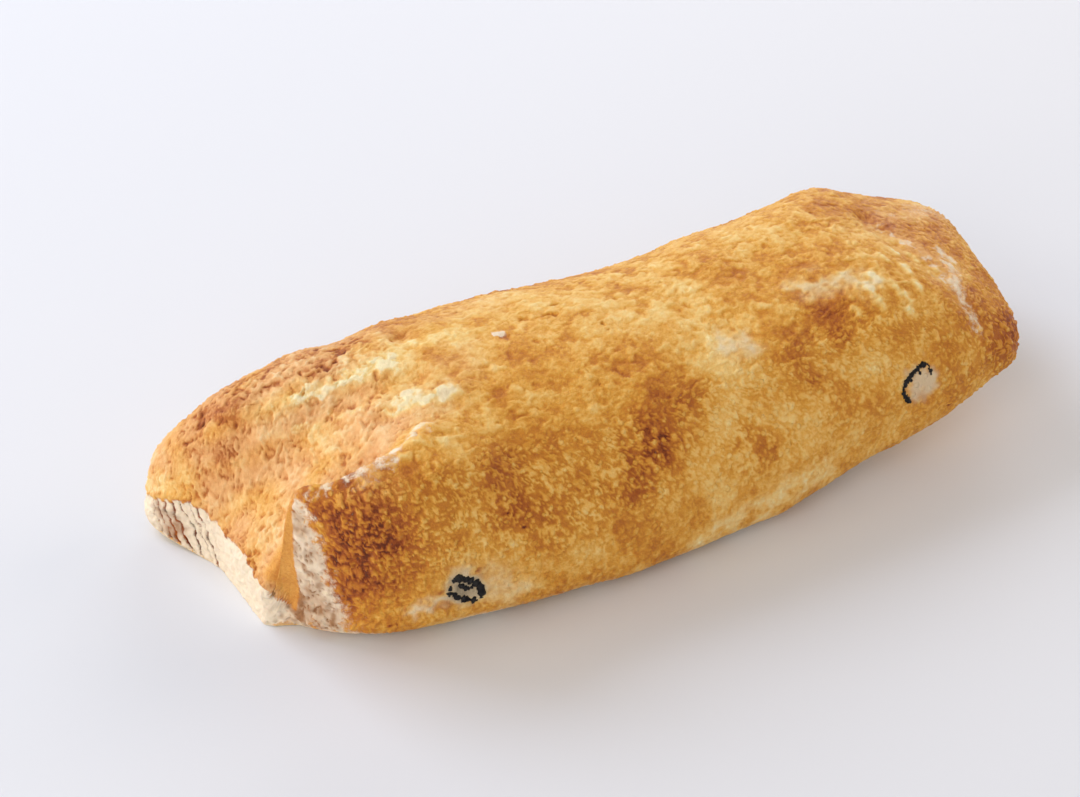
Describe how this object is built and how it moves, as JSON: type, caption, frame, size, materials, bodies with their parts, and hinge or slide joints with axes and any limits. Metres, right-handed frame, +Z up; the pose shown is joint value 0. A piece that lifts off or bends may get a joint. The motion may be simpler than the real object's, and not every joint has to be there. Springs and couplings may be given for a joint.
{
  "type": "ciabatta loaf",
  "caption": "Whole olive ciabatta: a long flat-based golden loaf with one pinched, floured cut end and black olive showing in its side.",
  "frame": {"origin": "middle of the loaf's outline, on the surface that it rests on", "axes": "+X along the loaf from the pinched cut end to the folded end, +Y across it away from the side that shows the olives, +Z up"},
  "size_m": [0.2736, 0.1037, 0.06],
  "materials": {
    "crust": "matte",
    "olive": "satin"
  },
  "bodies": {
    "root": {"loaf": "crust", "olive_left": "olive", "olive_right": "olive"}
  },
  "joints": []
}
